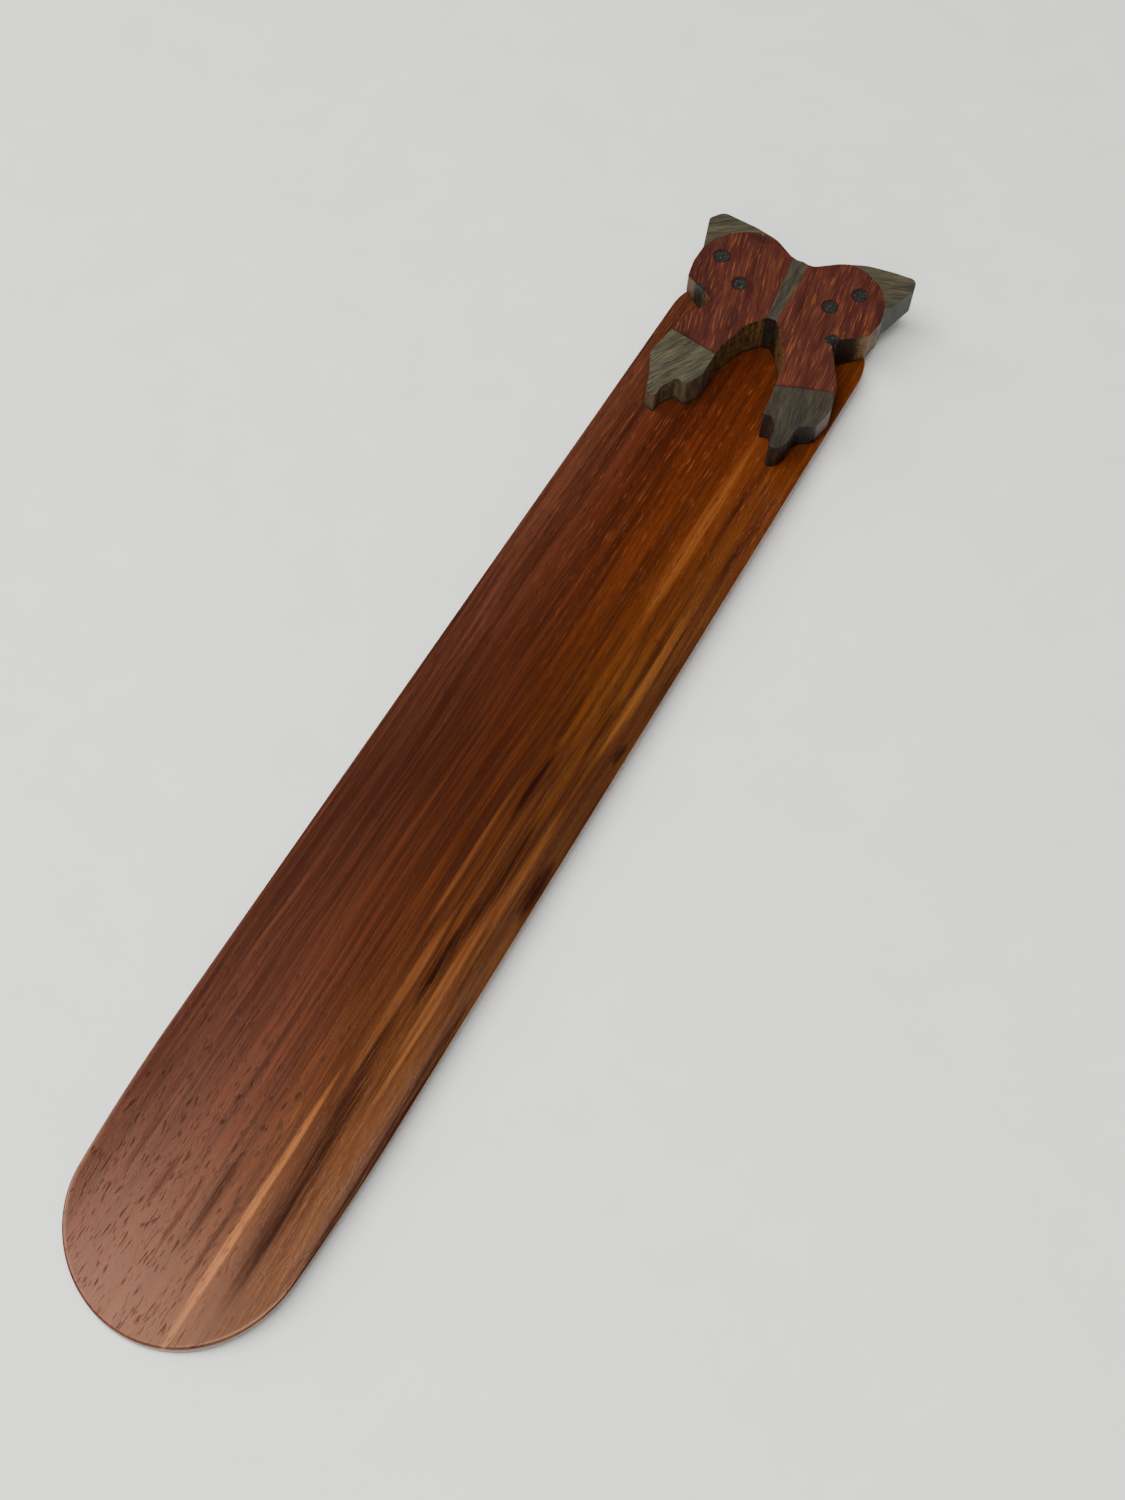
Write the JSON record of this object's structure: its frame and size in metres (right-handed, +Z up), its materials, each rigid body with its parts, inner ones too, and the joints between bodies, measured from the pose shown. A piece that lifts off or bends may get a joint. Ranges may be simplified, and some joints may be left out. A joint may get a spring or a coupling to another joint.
{
  "type": "shoehorn",
  "caption": "Wooden shoehorn: a dished hardwood blade with a round spoon end and an inlaid-wood butterfly glued over its head end as a grip.",
  "frame": {"origin": "on the ground plane under the middle of the shoehorn's length, between its two long edges", "axes": "+Y along the blade from the spoon end to the butterfly, +X to the right across the blade, +Z up out of the dish"},
  "size_m": [0.0519, 0.2873, 0.0143],
  "materials": {
    "padauk": "satin",
    "red_wood": "satin",
    "grey_wood": "satin",
    "ebony": "satin"
  },
  "bodies": {
    "root": {"blade": "padauk", "body_strip": "grey_wood", "left_wing": "red_wood", "right_wing": "red_wood", "left_forewing_tip": "grey_wood", "right_forewing_tip": "grey_wood", "left_hindwing_tip": "grey_wood", "right_hindwing_tip": "grey_wood", "left_outer_spot": "ebony", "right_outer_spot": "ebony", "left_inner_spot": "ebony", "right_inner_spot": "ebony", "left_notch_spot": "ebony", "right_notch_spot": "ebony"}
  },
  "joints": []
}
